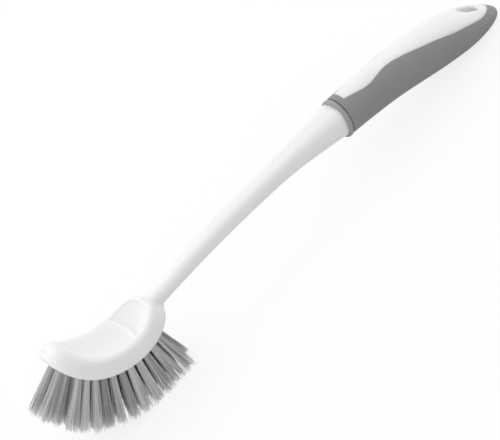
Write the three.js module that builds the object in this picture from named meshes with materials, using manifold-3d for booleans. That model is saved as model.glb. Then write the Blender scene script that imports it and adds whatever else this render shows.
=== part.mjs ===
// Pot brush with a curled head: a one-piece moulded body, a soft grip moulded over its handle, and rows of
// bristle tufts, each folded round a metal anchor in its own hole. Millimetres, +Z up.
// It lies bristles down: the tips and the end of the handle rest on z = 0, and the handle runs towards +X.
import * as THREE from 'three';
import { mergeGeometries, mergeVertices } from 'three/addons/utils/BufferGeometryUtils.js';
import loadManifold from 'manifold-3d';

// Spine: the neck and handle follow one upward bow, and distances along it start at the front of the collar
const NECK_LENGTH = 121;
const HANDLE_LENGTH = 100.2;
const BOW_RADIUS = 556;
const BOW_CREST = 17.4;

// Neck: slender at the head, flaring into the collar
const NECK_AT_HEAD = { breadth: 7.9, height: 7.4 };
const NECK_AT_FLARE = { breadth: 10, height: 9.4 };
const NECK_AT_COLLAR = { breadth: 15.6, height: 15.4 };
const NECK_FLARE_LENGTH = 43.6;
const NECK_SQUARENESS = { atHead: 2.2, atCollar: 2.4 };

// Handle: outer sizes behind the collar, at the waist, at the palm swell and at its rounded end,
// and how far each section is lifted off the bow
const GRIP_FRONT = { breadth: 17.6, height: 19.2, lift: 0.2 };
const GRIP_WAIST = { breadth: 18.6, height: 21.1, lift: 1.05, at: 30.4 };
const GRIP_PALM = { breadth: 22.8, height: 21.9, lift: 1.05, at: 62.4 };
const GRIP_TAIL = { breadth: 23.4, height: 11.6, lift: -0.2 };
const GRIP_SQUARENESS = { top: 2, underside: 2.3 };
const GRIP_END_LENGTH = 28;
const GRIP_WALL = 1.8;

// Collar: a bead at the front of the grip, and a groove and a plain band between it and the bare strip
const COLLAR = { breadth: 18.2, height: 19.4, bead: 2, round: 0.5, band: 2.7 };
const COLLAR_GROOVE = { width: 0.6, depth: 0.9 };

// Bare strip on top of the handle: half widths, with places from the collar and, past the palm, from the end
const STRIP_FRONT = { half: 3.5 };
const STRIP_NOSE = { at: 18, half: 5.6 };
const STRIP_WAIST = { at: 32.4, half: 4.3 };
const STRIP_PALM = { at: 52.4, half: 7.6 };
const STRIP_WIDEST = { fromEnd: 29, half: 9.8 };
const STRIP_TAIL = { fromEnd: 13, half: 8 };
const STRIP_END = 4.5;

// Hanging hole: a long hole with a dished mouth
const HANG_HOLE = { length: 10, width: 6.6, fromEnd: 15.8, dish: 2.2, dishDepth: 2 };

// Head: a slab curled about an axis across the brush, with angles from straight down and front negative
const UNDERSIDE_RADIUS = 38;
const HEAD_ARC = THREE.MathUtils.degToRad(101.5);
const HEAD_REAR_ANGLE = THREE.MathUtils.degToRad(39.5);
const HEAD_WIDTH = 28;
const HEAD_THICKNESS = 9;
const HEAD_SQUARENESS = 2.9;
const HEAD_EDGE = 0.5;
const WALL_DRAFT = 0.6;
const RIM_RADIUS = 2.1;
const FRONT_WALL = { lean: 4.8, round: 6 };
const DISH_DEPTH = 1;
const NECK_ENTRY_ANGLE = THREE.MathUtils.degToRad(33);
const NECK_ENTRY_HEIGHT = 3.9;

// Cup at the rear of the head's top, with a front edge that bulges backwards
const CUP = { front: 23, frontBulge: 2.2, width: 20, rimWidth: 3.2, depth: 1.5, step: 1.1, flare: 1.2 };

// Bristles: rows across the head, tufts along each row, strands in each tuft
const TUFTS_PER_ROW = [11, 13, 13, 11];
const FIELD_MARGIN = { side: 3.2, front: 4.4, rear: 8.6 };
const TUFT_ROOT = { along: 2.2, across: 1.8 };
const STRANDS_PER_RING = 6;
const STRAND_RADIUS = 0.34;
const STRAND_RING_RADIUS = 0.85;
const TUFT_FLARE = THREE.MathUtils.degToRad(2.4);
const ROW_SPLAY = THREE.MathUtils.degToRad(8);
const FAN_RAISE = 4;
const BRISTLE_LENGTH = { front: 22.4, middle: 25.3, rear: 24 };
const STANDING_FLAT = 0.5;
const BACKING = { thickness: 1.3, strandRoot: 0.8 };

// Anchors: one plate across each tuft's fold, biting into both sides of its hole
const ANCHOR = { width: 3.2, height: 1.2, thickness: 0.35 };
const TUFT_FOLD = 0.4;
const SOCKET_ROOF = 1.5;

// Gap kept between neighbouring pieces
const CLEARANCE = 0.3;

const RING_POINTS = 28;
const HEAD_POINTS = 36;
const STRIP_POINTS = 48;

const bodyPlastic = new THREE.MeshStandardMaterial({ color: 0xf2f2f0, roughness: 0.35, metalness: 0 });
const softGrip = new THREE.MeshStandardMaterial({ color: 0x84868a, roughness: 0.65, metalness: 0 });
const bristleFilament = new THREE.MeshStandardMaterial({ color: 0x8b8d90, roughness: 0.5, metalness: 0 });
const anchorMetal = new THREE.MeshStandardMaterial({ color: 0xc4bda8, roughness: 0.35, metalness: 1 });

const wasm = await loadManifold();
wasm.setup();

// A closed geometry as a solid that can be joined and cut
function solidOf(geometry) {
  const bare = geometry.clone();
  bare.deleteAttribute('normal');
  bare.deleteAttribute('uv');
  const merged = mergeVertices(bare);
  const triVerts = new Uint32Array(merged.index.array);
  const vertProperties = new Float32Array(merged.attributes.position.array);
  return new wasm.Manifold(new wasm.Mesh({ numProp: 3, vertProperties, triVerts }));
}

function meshOf(name, solid, material) {
  const { vertProperties, triVerts } = solid.getMesh();
  const geometry = new THREE.BufferGeometry();
  geometry.setAttribute('position', new THREE.BufferAttribute(vertProperties, 3));
  geometry.setIndex(new THREE.BufferAttribute(triVerts, 1));
  geometry.computeVertexNormals();
  const mesh = new THREE.Mesh(geometry, material);
  mesh.name = name;
  return mesh;
}

// Closed skin over rings of equally many points, with a fan over the first and the last ring
function skin(rings) {
  const count = rings[0].length;
  const points = rings.flat();
  const faces = [];
  for (let i = 0; i + 1 < rings.length; i++) {
    for (let j = 0; j < count; j++) {
      const here = i * count + j;
      const next = i * count + ((j + 1) % count);
      faces.push(here, next, next + count, here, next + count, here + count);
    }
  }
  const lastRing = (rings.length - 1) * count;
  for (const [start, turned] of [[0, true], [lastRing, false]]) {
    const centre = points.length;
    points.push(rings[start / count].reduce((sum, p) => sum.add(p), new THREE.Vector3()).divideScalar(count));
    for (let j = 0; j < count; j++) {
      const here = start + j;
      const next = start + ((j + 1) % count);
      faces.push(centre, turned ? next : here, turned ? here : next);
    }
  }
  return new THREE.BufferGeometry().setFromPoints(points).setIndex(faces);
}

// Place and upward direction at a distance along the bow
function bow(distance) {
  const angle = (distance - BOW_CREST) / BOW_RADIUS;
  const up = new THREE.Vector3(Math.sin(angle), 0, Math.cos(angle));
  const centre = new THREE.Vector3(BOW_CREST, 0, -BOW_RADIUS).addScaledVector(up, BOW_RADIUS);
  return { centre, up };
}

function superPower(value, squareness) {
  return Math.sign(value) * Math.abs(value) ** (2 / squareness);
}

// Rounded section square to the bow, with one squareness above its middle and one below
function section(distance, { breadth, height, lift = 0 }, { top, underside }, inset = 0) {
  const { centre, up } = bow(distance);
  return Array.from({ length: RING_POINTS }, (_, j) => {
    const turn = (2 * Math.PI * j) / RING_POINTS;
    const squareness = turn < Math.PI ? top : underside;
    const across = (breadth / 2 - inset) * superPower(Math.cos(turn), squareness);
    const above = (height / 2 - inset) * superPower(Math.sin(turn), squareness);
    return centre.clone().addScaledVector(up, lift + above).setY(across);
  });
}

function between(a, b, share) {
  return {
    breadth: THREE.MathUtils.lerp(a.breadth, b.breadth, share),
    height: THREE.MathUtils.lerp(a.height, b.height, share),
  };
}

function neckSize(distance) {
  const slenderShare = (distance + NECK_LENGTH) / (NECK_LENGTH - NECK_FLARE_LENGTH);
  if (distance < -NECK_FLARE_LENGTH) return between(NECK_AT_HEAD, NECK_AT_FLARE, slenderShare);
  return between(NECK_AT_FLARE, NECK_AT_COLLAR, (1 + distance / NECK_FLARE_LENGTH) ** 1.5);
}

function neckSquareness(distance) {
  const share = 1 + distance / NECK_LENGTH;
  const squareness = THREE.MathUtils.lerp(NECK_SQUARENESS.atHead, NECK_SQUARENESS.atCollar, share);
  return { top: squareness, underside: squareness };
}

// Outer size of the handle: a smooth run from front to waist to palm, closed by an elliptical end
const bandStart = COLLAR.bead + COLLAR_GROOVE.width;
const stripStart = bandStart + COLLAR.band;
const endStart = HANDLE_LENGTH - GRIP_END_LENGTH;
const handleStations = [GRIP_FRONT, GRIP_WAIST, GRIP_PALM, GRIP_TAIL];
const handleRun = new THREE.CubicInterpolant(
  [bandStart, GRIP_WAIST.at, GRIP_PALM.at, HANDLE_LENGTH],
  handleStations.flatMap(({ breadth, height, lift }) => [breadth, height, lift]),
  3,
  new Float64Array(3),
);

function handleSize(distance) {
  const [breadth, height, lift] = handleRun.evaluate(distance);
  const pastStart = Math.max(0, distance - endStart) / GRIP_END_LENGTH;
  const closing = Math.sqrt(Math.max(0, 1 - pastStart ** 2));
  return { breadth: breadth * closing, height: height * closing, lift };
}

// Point on the middle line of the handle's top, or with side -1 of its underside
function handleCrown(distance, side) {
  const { centre, up } = bow(distance);
  const { height, lift } = handleSize(distance);
  return centre.clone().addScaledVector(up, lift + (side * height) / 2);
}

// Distances at even turns of the rounded end, so that its sections crowd towards the tip
function endDistances(last, steps) {
  const lastTurn = Math.asin((last - endStart) / GRIP_END_LENGTH);
  const turns = spread(0, lastTurn, steps).slice(1);
  return turns.map((turn) => endStart + GRIP_END_LENGTH * Math.sin(turn));
}

function spread(from, to, steps) {
  return Array.from({ length: steps + 1 }, (_, i) => THREE.MathUtils.lerp(from, to, i / steps));
}

// Rings of the bead and the groove, each with how far it lies inside the full bead
function collarRings() {
  const { bead, round } = COLLAR;
  const { width, depth } = COLLAR_GROOVE;
  const stations = [
    [0, round],
    [0.3 * round, 0.3 * round],
    [round, 0],
    [bead - round, 0],
    [bead - 0.3 * round, 0.3 * round],
    [bead, round],
    [bead + 0.1 * width, depth],
    [bead + 0.9 * width, depth],
  ];
  return stations.map(([distance, inset]) => section(distance, COLLAR, GRIP_SQUARENESS, inset));
}

// Rings of the rounded front edge of the band behind the groove
function bandRings() {
  const { round } = COLLAR;
  const stations = [
    [bandStart, round],
    [bandStart + 0.3 * round, 0.3 * round],
  ];
  return stations.map(([distance, inset]) => section(distance, handleSize(distance), GRIP_SQUARENESS, inset));
}

function handleRings(inset, from, last, runSteps, endSteps) {
  const distances = [...spread(from, endStart, runSteps), ...endDistances(last, endSteps)];
  return distances.map((distance) => section(distance, handleSize(distance), GRIP_SQUARENESS, inset));
}

const gripStart = bandStart + COLLAR.round;
const gripLast = HANDLE_LENGTH - 0.15;
const handleOuter = solidOf(
  skin([...collarRings(), ...bandRings(), ...handleRings(0, gripStart, gripLast, 10, 8)]),
);

// Neck and the core inside the grip, as one run from the head to the end of the handle
function spine(grow) {
  const slender = spread(-NECK_LENGTH - 1, -NECK_FLARE_LENGTH, 7);
  const flare = spread(-NECK_FLARE_LENGTH, 0, 7).slice(1);
  const neck = [...slender, ...flare].map((distance) =>
    section(distance, neckSize(distance), neckSquareness(distance), -grow),
  );
  const underCollar = section(COLLAR.round, COLLAR, GRIP_SQUARENESS, GRIP_WALL - grow);
  const coreEnd = HANDLE_LENGTH - 2 * GRIP_WALL + grow;
  const core = handleRings(GRIP_WALL - grow, stripStart, coreEnd, 5, 5);
  return solidOf(skin([...neck, underCollar, ...core]));
}

// Bare strip: a plan outline, grown square to its edge, raised through the top of the handle
function stripPrism(grow) {
  const side = [
    [stripStart, STRIP_FRONT.half],
    [STRIP_NOSE.at, STRIP_NOSE.half],
    [STRIP_WAIST.at, STRIP_WAIST.half],
    [STRIP_PALM.at, STRIP_PALM.half],
    [HANDLE_LENGTH - STRIP_WIDEST.fromEnd, STRIP_WIDEST.half],
    [HANDLE_LENGTH - STRIP_TAIL.fromEnd, STRIP_TAIL.half],
  ].map(([distance, half]) => new THREE.Vector2(bow(distance).centre.x, half));
  const end = new THREE.Vector2(bow(HANDLE_LENGTH - STRIP_END).centre.x, 0);
  const farSide = side.map(({ x, y }) => new THREE.Vector2(x, -y)).reverse();
  const edge = new THREE.SplineCurve([...side, end, ...farSide]);
  const points = spread(0, 1, STRIP_POINTS).map((share) => {
    const { x, y } = edge.getTangent(share);
    return edge.getPoint(share).add(new THREE.Vector2(-y, x).multiplyScalar(grow));
  });
  points[0].x -= grow;
  points[STRIP_POINTS].x -= grow;
  const outline = new THREE.Shape(points);
  const bottom = handleCrown(HANDLE_LENGTH - STRIP_END, 1).z - 2 * GRIP_WALL;
  const prism = new THREE.ExtrudeGeometry(outline, { depth: COLLAR.height, bevelEnabled: false });
  return solidOf(prism.translate(0, 0, bottom));
}

// Hanging hole: runs straight through, and its mouth follows the slope of the handle's top
function hangHole() {
  const { length, width, fromEnd, dish, dishDepth } = HANG_HOLE;
  const middle = handleCrown(HANDLE_LENGTH - fromEnd, 1);
  const before = handleCrown(HANDLE_LENGTH - fromEnd - length / 2, 1);
  const after = handleCrown(HANDLE_LENGTH - fromEnd + length / 2, 1);
  const slope = (after.z - before.z) / (after.x - before.x);
  const ring = (grow, level) => {
    const outline = new THREE.Shape();
    const radius = width / 2 + grow;
    outline.absarc((length - width) / 2, 0, radius, -Math.PI / 2, Math.PI / 2);
    outline.absarc((width - length) / 2, 0, radius, Math.PI / 2, 1.5 * Math.PI);
    const points = outline.getPoints(8);
    points.pop();
    return points.map(({ x, y }) => new THREE.Vector3(middle.x + x, y, middle.z + level + slope * x));
  };
  const dishRings = spread(0, Math.PI / 2, 4).map((turn) =>
    ring(dish * (1 - Math.cos(turn)), dishDepth * (Math.sin(turn) - 1)),
  );
  return solidOf(skin([ring(0, -2 * GRIP_PALM.height), ...dishRings, ring(2 * dish, GRIP_PALM.height / 2)]));
}

// Head: drawn flat, with s along the underside from its middle, n across and h above it, then curled
const neckEnd = bow(-NECK_LENGTH).centre;
const entryRadius = UNDERSIDE_RADIUS - NECK_ENTRY_HEIGHT;
const headMiddleAngle = HEAD_REAR_ANGLE - HEAD_ARC / 2;
const headHalfLength = (UNDERSIDE_RADIUS * HEAD_ARC) / 2;
const curlAxis = new THREE.Vector3(
  neckEnd.x - entryRadius * Math.sin(NECK_ENTRY_ANGLE),
  0,
  neckEnd.z + entryRadius * Math.cos(NECK_ENTRY_ANGLE),
);

function curl(s, n, h) {
  const angle = headMiddleAngle + s / UNDERSIDE_RADIUS;
  const radius = UNDERSIDE_RADIUS - h;
  return new THREE.Vector3(curlAxis.x + radius * Math.sin(angle), n, curlAxis.z - radius * Math.cos(angle));
}

const headOutline = Array.from({ length: HEAD_POINTS }, (_, j) => {
  const turn = (2 * Math.PI * j) / HEAD_POINTS;
  return [superPower(Math.cos(turn), HEAD_SQUARENESS), superPower(Math.sin(turn), HEAD_SQUARENESS)];
});

// Ring of the head's outline, drawn in by an inset at a height above the underside. Both may change with the
// front share: 1 at the front tip and 0 at the sides. The front wall leans out as it rises.
function headRing(profile, scale = 1) {
  return headOutline.map(([s, n]) => {
    const frontShare = Math.max(0, -s) ** 2;
    const { inset, h } = profile(frontShare);
    const lean = (FRONT_WALL.lean * frontShare * h) / HEAD_THICKNESS;
    return curl(s * scale * (headHalfLength - inset + lean), n * scale * (HEAD_WIDTH / 2 - inset), h);
  });
}

function headSlab() {
  const rimRound = (frontShare) => THREE.MathUtils.lerp(RIM_RADIUS, FRONT_WALL.round, frontShare);
  const under = [0.1, 0.4, 0.7].map((scale) => headRing(() => ({ inset: 0, h: 0 }), scale));
  const edge = [
    headRing(() => ({ inset: HEAD_EDGE, h: 0 })),
    headRing(() => ({ inset: 0, h: HEAD_EDGE })),
  ];
  const rim = spread(0, Math.PI / 2, 4).map((turn) =>
    headRing((frontShare) => ({
      inset: WALL_DRAFT + rimRound(frontShare) * (1 - Math.cos(turn)),
      h: HEAD_THICKNESS - rimRound(frontShare) * (1 - Math.sin(turn)),
    })),
  );
  const top = [0.86, 0.7, 0.5, 0.3, 0.1].map((scale) => {
    const h = HEAD_THICKNESS - DISH_DEPTH * (1 - scale ** 2) ** 2;
    return headRing((frontShare) => ({ inset: WALL_DRAFT + rimRound(frontShare), h }), scale);
  });
  return solidOf(skin([...under, ...edge, ...rim, ...top]));
}

// Cup: a bowl cut into the rear of the top
function cupCutter() {
  const { front, frontBulge, width, rimWidth, depth, step, flare } = CUP;
  const frontS = headHalfLength - front + rimWidth;
  const frontEdge = frontS + frontBulge;
  const rearS = headHalfLength - rimWidth;
  const half = width / 2;
  const outline = new THREE.Shape();
  outline.moveTo(frontS, -half);
  outline.bezierCurveTo(rearS - half / 2, -half, rearS, -half / 1.2, rearS, 0);
  outline.bezierCurveTo(rearS, half / 1.2, rearS - half / 2, half, frontS, half);
  outline.quadraticCurveTo(2 * frontEdge - frontS, 0, frontS, -half);
  const points = outline.getSpacedPoints(HEAD_POINTS).slice(1);
  const middleS = (frontEdge + rearS) / 2;
  const floor = HEAD_THICKNESS - depth;
  const ring = (scale, h) => points.map(({ x, y }) => curl(middleS + (x - middleS) * scale, y * scale, h));
  const bowl = [0.1, 0.4, 0.65, 0.85, 1].map((scale) => ring(scale, floor + step * scale ** 3));
  return solidOf(skin([...bowl, ring(flare, HEAD_THICKNESS + RIM_RADIUS)]));
}

// Slab of constant section curled along the underside, between two heights
function curledSlab({ n, width, s, length }, fromHeight, toHeight) {
  const angle = (place) => headMiddleAngle + place / UNDERSIDE_RADIUS - Math.PI / 2;
  const front = angle(s - length / 2);
  const rear = angle(s + length / 2);
  const outline = new THREE.Shape();
  outline.absarc(0, 0, UNDERSIDE_RADIUS - fromHeight, front, rear, false);
  outline.absarc(0, 0, UNDERSIDE_RADIUS - toHeight, rear, front, true);
  const slab = new THREE.ExtrudeGeometry(outline, { depth: width, bevelEnabled: false, curveSegments: 6 });
  slab.rotateX(Math.PI / 2).translate(curlAxis.x, n + width / 2, curlAxis.z);
  return solidOf(slab);
}

// Rows of tufts: the longest rows fill the field, and the shorter ones stand half a pitch further back
const rowCount = TUFTS_PER_ROW.length;
const rowPitch = (HEAD_WIDTH - 2 * FIELD_MARGIN.side) / rowCount;
const longestRow = Math.max(...TUFTS_PER_ROW);
const fieldLength = 2 * headHalfLength - FIELD_MARGIN.front - FIELD_MARGIN.rear;
const fieldMiddle = (FIELD_MARGIN.front - FIELD_MARGIN.rear) / 2;
const tuftPitch = fieldLength / longestRow;
const rows = TUFTS_PER_ROW.map((tuftCount, row) => ({
  tuftCount,
  n: (row - (rowCount - 1) / 2) * rowPitch,
  s: fieldMiddle + (tuftCount < longestRow ? tuftPitch / 2 : 0),
  length: tuftCount * tuftPitch,
}));

// Directions of the tufts: they fan out from a point above the curl axis, and the rows splay sideways
const headMiddle = new THREE.Vector3(Math.sin(headMiddleAngle), 0, -Math.cos(headMiddleAngle));
const fanCentre = curlAxis.clone().addScaledVector(headMiddle, -FAN_RAISE);

function fanDirection(s) {
  return curl(s, 0, 0).sub(fanCentre).normalize();
}

function tuftFrame(s, n) {
  const splay = (ROW_SPLAY * n) / rows[rowCount - 1].n;
  const outward = fanDirection(s).multiplyScalar(Math.cos(splay)).setY(Math.sin(splay));
  const across = new THREE.Vector3(0, 1, 0).addScaledVector(outward, -outward.y).normalize();
  const along = across.clone().cross(outward);
  return new THREE.Matrix4().makeBasis(along, across, outward).setPosition(curl(s, n, 0));
}

// Trim of the tips: a circle through the ends of the front, middle and rear bristles
function circleThrough(a, b, c) {
  const ab = b.clone().sub(a);
  const ac = c.clone().sub(a);
  const turn = 2 * (ab.x * ac.z - ab.z * ac.x);
  const x = (ac.z * ab.lengthSq() - ab.z * ac.lengthSq()) / turn;
  const z = (ab.x * ac.lengthSq() - ac.x * ab.lengthSq()) / turn;
  return { centre: new THREE.Vector3(a.x + x, 0, a.z + z), radius: Math.hypot(x, z) };
}

const trimReach = (fieldLength - tuftPitch) / 2;
const trimTips = [
  [fieldMiddle - trimReach, BRISTLE_LENGTH.front],
  [fieldMiddle, BRISTLE_LENGTH.middle],
  [fieldMiddle + trimReach, BRISTLE_LENGTH.rear],
].map(([s, length]) => curl(s, 0, 0).addScaledVector(fanDirection(s), length));
const trim = circleThrough(...trimTips);

// Lie: the slope of the table under the tips and the handle, found by halving
const handleUnderside = spread(gripStart, HANDLE_LENGTH, 120).map((distance) => handleCrown(distance, -1));

function towardsTable(slope) {
  return new THREE.Vector3(Math.sin(slope), 0, -Math.cos(slope));
}

function tipReach(slope) {
  return trim.centre.dot(towardsTable(slope)) + trim.radius - STANDING_FLAT;
}

function findLie() {
  let low = 0;
  let high = Math.PI / 4;
  for (let i = 0; i < 50; i++) {
    const slope = (low + high) / 2;
    const handleReach = Math.max(...handleUnderside.map((point) => point.dot(towardsTable(slope))));
    if (tipReach(slope) > handleReach) low = slope;
    else high = slope;
  }
  return (low + high) / 2;
}

const lie = findLie();
const tableDirection = towardsTable(lie);

// Length from a point along a direction to the trimmed end: the trim circle, or the table if that comes first
function lengthToTrim(point, direction) {
  const x = point.x - trim.centre.x;
  const z = point.z - trim.centre.z;
  const a = direction.x ** 2 + direction.z ** 2;
  const b = x * direction.x + z * direction.z;
  const c = x ** 2 + z ** 2 - trim.radius ** 2;
  const toCircle = (-b + Math.sqrt(b ** 2 - a * c)) / a;
  const closing = direction.dot(tableDirection);
  const toTable = (tipReach(lie) - point.dot(tableDirection)) / closing;
  return closing > 0 ? Math.min(toCircle, toTable) : toCircle;
}

// One three-sided strand, rooted in the backing and cut at the trim
function strand(frame, turn, ringRadius) {
  const flare = ringRadius > 0 ? Math.tan(TUFT_FLARE) : 0;
  const direction = new THREE.Vector3(flare * Math.cos(turn), flare * Math.sin(turn), 1)
    .normalize()
    .transformDirection(frame);
  const corners = [0, 1, 2].map((corner) => {
    const cornerTurn = turn + (2 * Math.PI * corner) / 3;
    return new THREE.Vector3(
      ringRadius * Math.cos(turn) + STRAND_RADIUS * Math.cos(cornerTurn),
      ringRadius * Math.sin(turn) + STRAND_RADIUS * Math.sin(cornerTurn),
      -BACKING.strandRoot,
    ).applyMatrix4(frame);
  });
  const tips = corners.map((corner) => {
    const length = lengthToTrim(corner, direction);
    return corner.clone().addScaledVector(direction, length);
  });
  return new THREE.BufferGeometry()
    .setFromPoints([...corners, ...tips])
    .setIndex([0, 2, 1, 3, 4, 5, 0, 1, 4, 0, 4, 3, 1, 2, 5, 1, 5, 4, 2, 0, 3, 2, 3, 5]);
}

function strands(frame) {
  const ring = Array.from({ length: STRANDS_PER_RING }, (_, i) =>
    strand(frame, (2 * Math.PI * i) / STRANDS_PER_RING, STRAND_RING_RADIUS),
  );
  return [strand(frame, 0, 0), ...ring];
}

// Depths in a tuft hole, from the underside inwards
const socketDepth = HEAD_THICKNESS - CUP.depth - SOCKET_ROOF;
const foldDepth = socketDepth - CLEARANCE;
const anchorDepth = foldDepth - TUFT_FOLD - CLEARANCE - ANCHOR.height / 2;

// Hole for one tuft, drawn out sideways where the ends of its anchor bite
function socket(frame) {
  const sideAlong = TUFT_ROOT.along / 2 + CLEARANCE;
  const sideAcross = TUFT_ROOT.across / 2 - CLEARANCE;
  const endAlong = ANCHOR.thickness / 2 + CLEARANCE;
  const endAcross = ANCHOR.width / 2 + CLEARANCE;
  const corners = [
    [sideAlong, sideAcross],
    [endAlong, endAcross],
    [-endAlong, endAcross],
    [-sideAlong, sideAcross],
    [-sideAlong, -sideAcross],
    [-endAlong, -endAcross],
    [endAlong, -endAcross],
    [sideAlong, -sideAcross],
  ];
  const outline = new THREE.Shape(corners.map(([x, y]) => new THREE.Vector2(x, y)));
  const depth = socketDepth - BACKING.thickness + CLEARANCE;
  const hole = new THREE.ExtrudeGeometry(outline, { depth, bevelEnabled: false });
  return hole.translate(0, 0, -socketDepth).applyMatrix4(frame);
}

function rectangle(path, halfWidth, bottom, top) {
  path.moveTo(-halfWidth, bottom);
  path.lineTo(halfWidth, bottom);
  path.lineTo(halfWidth, top);
  path.lineTo(-halfWidth, top);
  path.closePath();
  return path;
}

// Root of one tuft: a loop of bristle folded round its anchor
function tuftRoot(frame) {
  const eyeHalf = ANCHOR.thickness / 2 + CLEARANCE;
  const eyeReach = ANCHOR.height / 2 + CLEARANCE;
  const loop = rectangle(new THREE.Shape(), TUFT_ROOT.along / 2, -foldDepth, -BACKING.strandRoot);
  const eye = rectangle(new THREE.Path(), eyeHalf, -anchorDepth - eyeReach, -anchorDepth + eyeReach);
  loop.holes.push(eye);
  const root = new THREE.ExtrudeGeometry(loop, { depth: TUFT_ROOT.across, bevelEnabled: false });
  return root.rotateX(Math.PI / 2).translate(0, TUFT_ROOT.across / 2, 0).applyMatrix4(frame);
}

function merged(geometries) {
  const bare = geometries.map((geometry) => {
    const copy = geometry.index ? geometry.toNonIndexed() : geometry.clone();
    copy.deleteAttribute('normal');
    copy.deleteAttribute('uv');
    return copy;
  });
  return solidOf(mergeGeometries(bare));
}

for (const row of rows) {
  row.frames = Array.from({ length: row.tuftCount }, (_, i) =>
    tuftFrame(row.s + (i - (row.tuftCount - 1) / 2) * tuftPitch, row.n),
  );
}

const brush = new THREE.Group();
brush.rotation.y = lie;

// Body: head, neck, core and bare strip in one moulding, with a recess for the rows and a hole for each tuft
const recessDepth = BACKING.thickness + CLEARANCE;
const recesses = rows.slice(0, rowCount / 2).map(({ n, s, length }) => {
  const width = 2 * Math.abs(n) + rowPitch + CLEARANCE;
  return curledSlab({ n: 0, width, s, length: length + 2 * CLEARANCE }, -recessDepth, recessDepth);
});
const sockets = merged(rows.flatMap(({ frames }) => frames.map(socket)));
const hole = hangHole();
const moulding = headSlab().subtract(cupCutter()).add(spine(0)).add(handleOuter.intersect(stripPrism(0)));
const body = [...recesses, sockets, hole].reduce((rest, cut) => rest.subtract(cut), moulding);
brush.add(meshOf('brush_body', body, bodyPlastic));

// Grip: the shell between the outer form and the core, open over the bare strip
const grip = handleOuter.subtract(spine(CLEARANCE)).subtract(stripPrism(CLEARANCE)).subtract(hole);
brush.add(meshOf('grip', grip, softGrip));

// Bristle rows and their anchors
rows.forEach(({ n, s, length, frames }, row) => {
  const backing = curledSlab({ n, width: rowPitch - CLEARANCE, s, length }, 0, BACKING.thickness);
  const bristles = backing.add(merged(frames.map(tuftRoot))).add(merged(frames.flatMap(strands)));
  brush.add(meshOf(`bristle_row_${row + 1}`, bristles, bristleFilament));
  frames.forEach((frame, tuft) => {
    const plate = new THREE.BoxGeometry(ANCHOR.thickness, ANCHOR.width, ANCHOR.height);
    const anchor = new THREE.Mesh(plate.translate(0, 0, -anchorDepth), anchorMetal);
    anchor.name = `anchor_${row + 1}_${String(tuft + 1).padStart(2, '0')}`;
    frame.decompose(anchor.position, anchor.quaternion, anchor.scale);
    brush.add(anchor);
  });
});

// Set down on z = 0 with the middle of its length at the origin
const part = new THREE.Group();
part.add(brush);
const extent = new THREE.Box3().setFromObject(part, true);
brush.position.set(-(extent.min.x + extent.max.x) / 2, 0, -extent.min.z);

export default part;
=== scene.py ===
# Pot brush: the finished surfaces and materials of a one-piece brush body, the soft grip moulded over its
# handle, and the bristle tufts set in its curled head. Metres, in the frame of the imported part.
import math

import bmesh
import bpy
import numpy as np
from mathutils import Matrix, Vector


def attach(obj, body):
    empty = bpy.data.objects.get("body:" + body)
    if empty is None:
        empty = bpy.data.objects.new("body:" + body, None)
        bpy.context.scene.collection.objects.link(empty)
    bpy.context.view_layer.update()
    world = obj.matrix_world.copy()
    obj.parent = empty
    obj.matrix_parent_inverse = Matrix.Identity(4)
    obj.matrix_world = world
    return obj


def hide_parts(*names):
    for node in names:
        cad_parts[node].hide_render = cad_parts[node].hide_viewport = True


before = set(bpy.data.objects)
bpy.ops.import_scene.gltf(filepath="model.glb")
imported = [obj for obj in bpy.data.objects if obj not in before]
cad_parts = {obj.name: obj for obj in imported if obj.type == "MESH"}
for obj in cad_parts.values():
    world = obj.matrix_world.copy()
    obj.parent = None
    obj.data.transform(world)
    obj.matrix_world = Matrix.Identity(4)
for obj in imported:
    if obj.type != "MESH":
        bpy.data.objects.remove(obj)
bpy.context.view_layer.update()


# Brush body: the curled head, the slender neck, the core of the handle and the bare strip on top of it.
# It is one injection moulding in white polypropylene, and everything else is fixed to it. The curves are
# drawn in millimetres, level and with the collar's front at the origin, and laid on the table afterwards.

MM = 0.001
LIE_ANGLE = math.radians(10.43128)
COLLAR_FRONT = np.array([45.19363, 0.0, 26.15965])
MERGE_DISTANCE = 0.001


def laid(points):
    """Points drawn level, in mm, as they lie on the table, in metres."""
    turn = np.array([
        [math.cos(LIE_ANGLE), 0, math.sin(LIE_ANGLE)],
        [0, 1, 0],
        [-math.sin(LIE_ANGLE), 0, math.cos(LIE_ANGLE)],
    ])
    return (np.asarray(points) @ turn.T + COLLAR_FRONT) * MM


def solid(name, points, faces):
    """A closed mesh of drawn points, with doubled points merged and its faces turned outwards."""
    mesh = bpy.data.meshes.new(name)
    made = bmesh.new()
    corners = [made.verts.new(point) for point in laid(points).tolist()]
    for face in faces:
        made.faces.new([corners[i] for i in face])
    bmesh.ops.remove_doubles(made, verts=made.verts, dist=MERGE_DISTANCE * MM)
    bmesh.ops.recalc_face_normals(made, faces=made.faces)
    made.to_mesh(mesh)
    made.free()
    piece = bpy.data.objects.new(name, mesh)
    bpy.context.scene.collection.objects.link(piece)
    return piece


def lofted(name, rings):
    """A closed solid over closed rings of equally many points, with a fan over each end."""
    count, last = len(rings[0]), len(rings) - 1
    points = np.concatenate([*rings, [rings[0].mean(0), rings[-1].mean(0)]])
    first_centre, last_centre = len(points) - 2, len(points) - 1
    faces = []
    for j in range(count):
        k = (j + 1) % count
        for i in range(last):
            here, there = i * count, (i + 1) * count
            faces.append((here + j, here + k, there + k, there + j))
        faces.append((first_centre, k, j))
        faces.append((last_centre, last * count + j, last * count + k))
    return solid(name, points, faces)


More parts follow.
